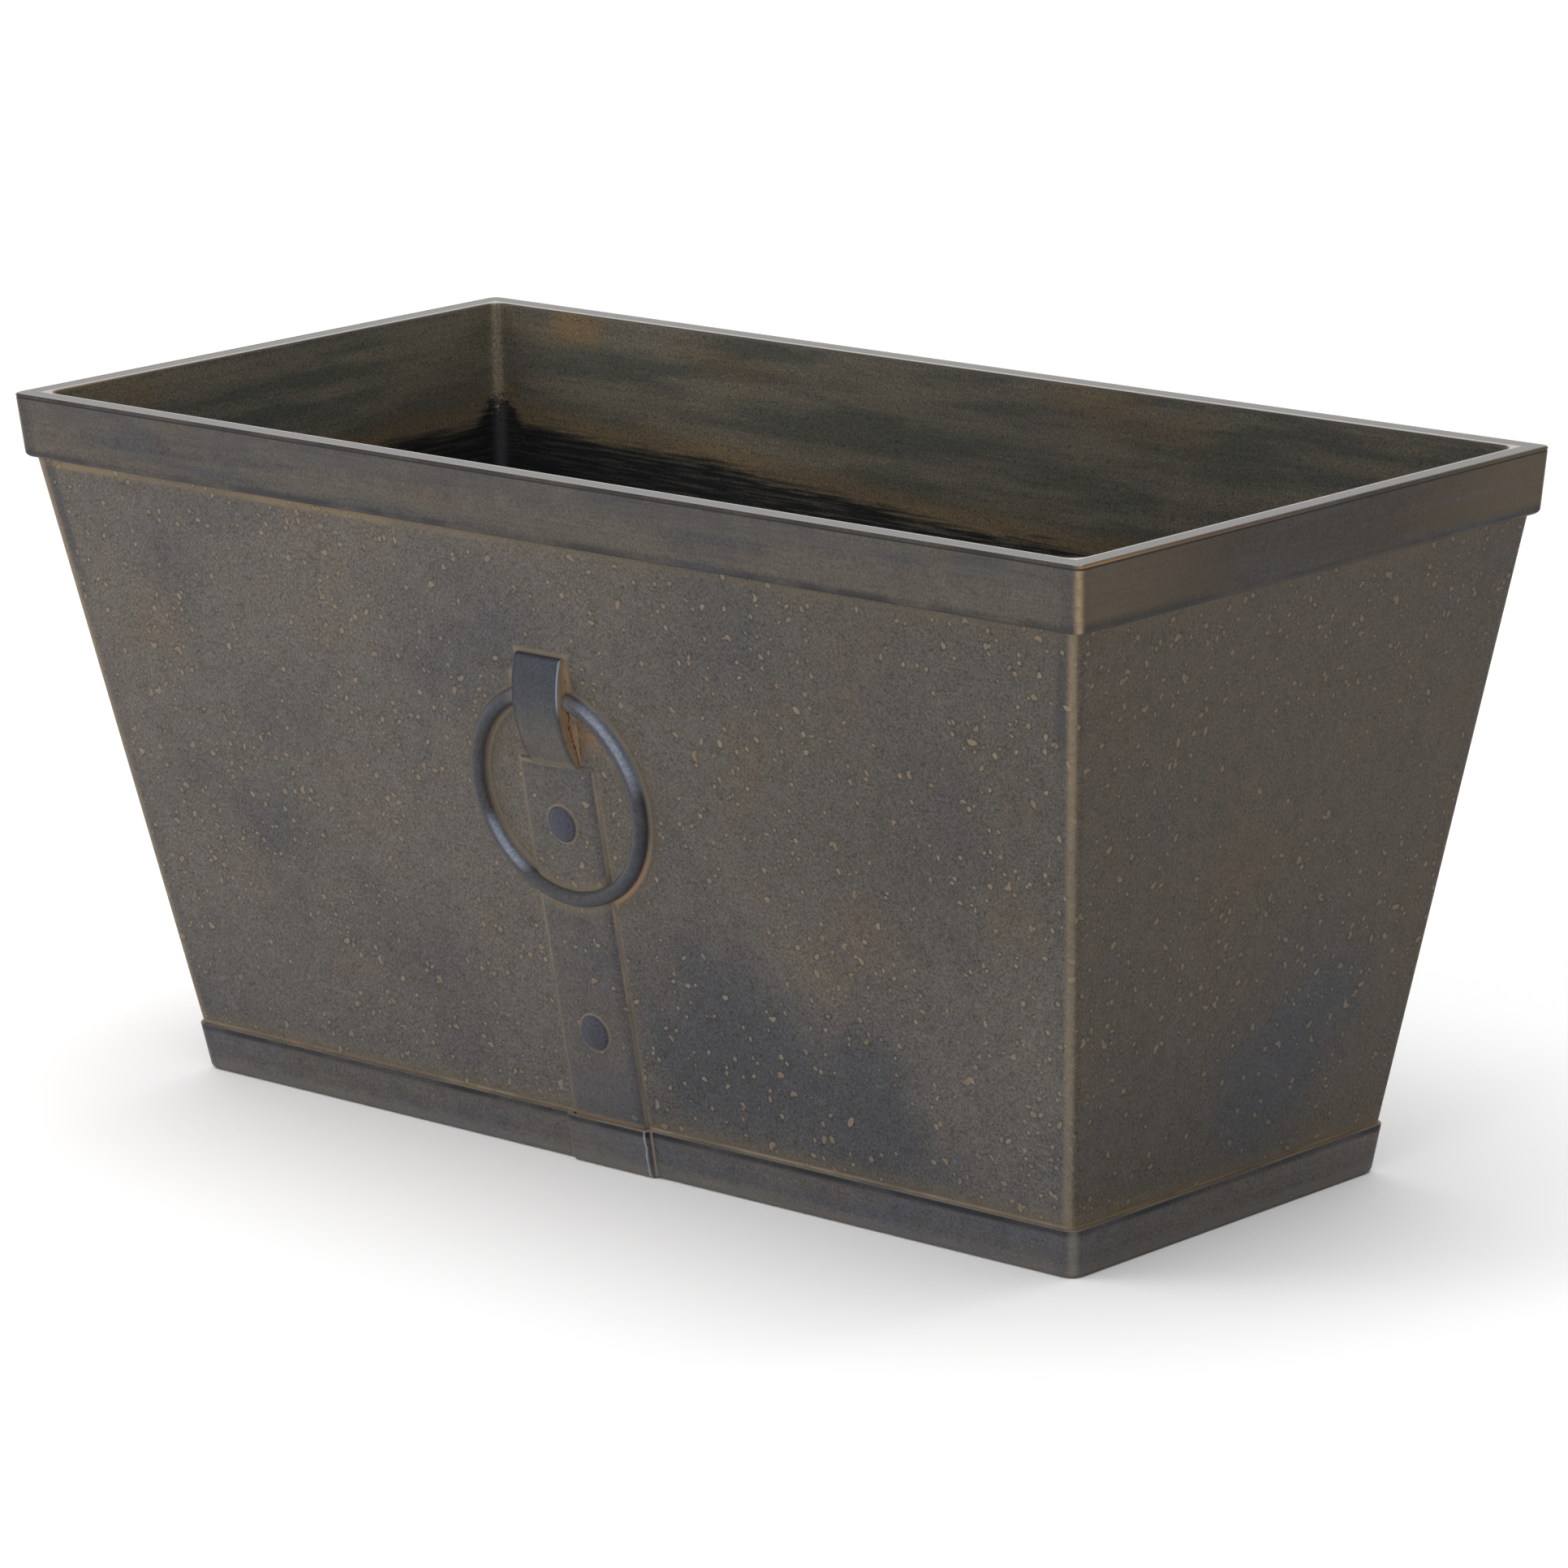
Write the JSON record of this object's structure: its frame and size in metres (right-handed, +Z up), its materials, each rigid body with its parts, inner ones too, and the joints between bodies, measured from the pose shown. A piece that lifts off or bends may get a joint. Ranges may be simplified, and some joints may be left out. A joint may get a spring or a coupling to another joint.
{
  "type": "trough planter",
  "caption": "Tapered rectangular planter with a rim band, a foot band, a strap, loop and ring on each long face, and rubber drain plugs in the floor.",
  "frame": {"origin": "middle of the foot, on the surface that the planter stands on", "axes": "+X along the trough's length, -Y towards the front long face, +Z up"},
  "size_m": [0.61, 0.3, 0.308],
  "materials": {
    "wall_paint": "antique brown-grey paint on moulded resin, with bluish clouds, tan specks and a rust wash in the creases; bare near-black resin low inside",
    "band_paint": "darker brushed antique paint on moulded resin, with a pale worn flat land on the rim",
    "strap_paint": "antique brown-grey paint with bluish edges",
    "ring_paint": "blue-grey metallic-looking paint, semi-gloss on the highlights",
    "plug_rubber": "matt black rubber"
  },
  "bodies": {
    "planter": {"tub": "wall_paint", "rim_band": "band_paint", "foot_band": "band_paint", "front_strap": "strap_paint", "front_loop": "strap_paint", "front_ring": "ring_paint", "front_rivet_upper": "ring_paint", "front_rivet_lower": "ring_paint", "back_strap": "strap_paint", "back_loop": "strap_paint", "back_ring": "ring_paint", "back_rivet_upper": "ring_paint", "back_rivet_lower": "ring_paint"},
    "left_plug": {"drain_plug_left": "plug_rubber"},
    "right_plug": {"drain_plug_right": "plug_rubber"}
  },
  "joints": [
    {"name": "left_plug_pull", "type": "slide", "parent": "planter", "child": "left_plug", "axis": [0, 0, 1], "range_m": [0, 0.05]},
    {"name": "right_plug_pull", "type": "slide", "parent": "planter", "child": "right_plug", "axis": [0, 0, 1], "range_m": [0, 0.05]}
  ]
}
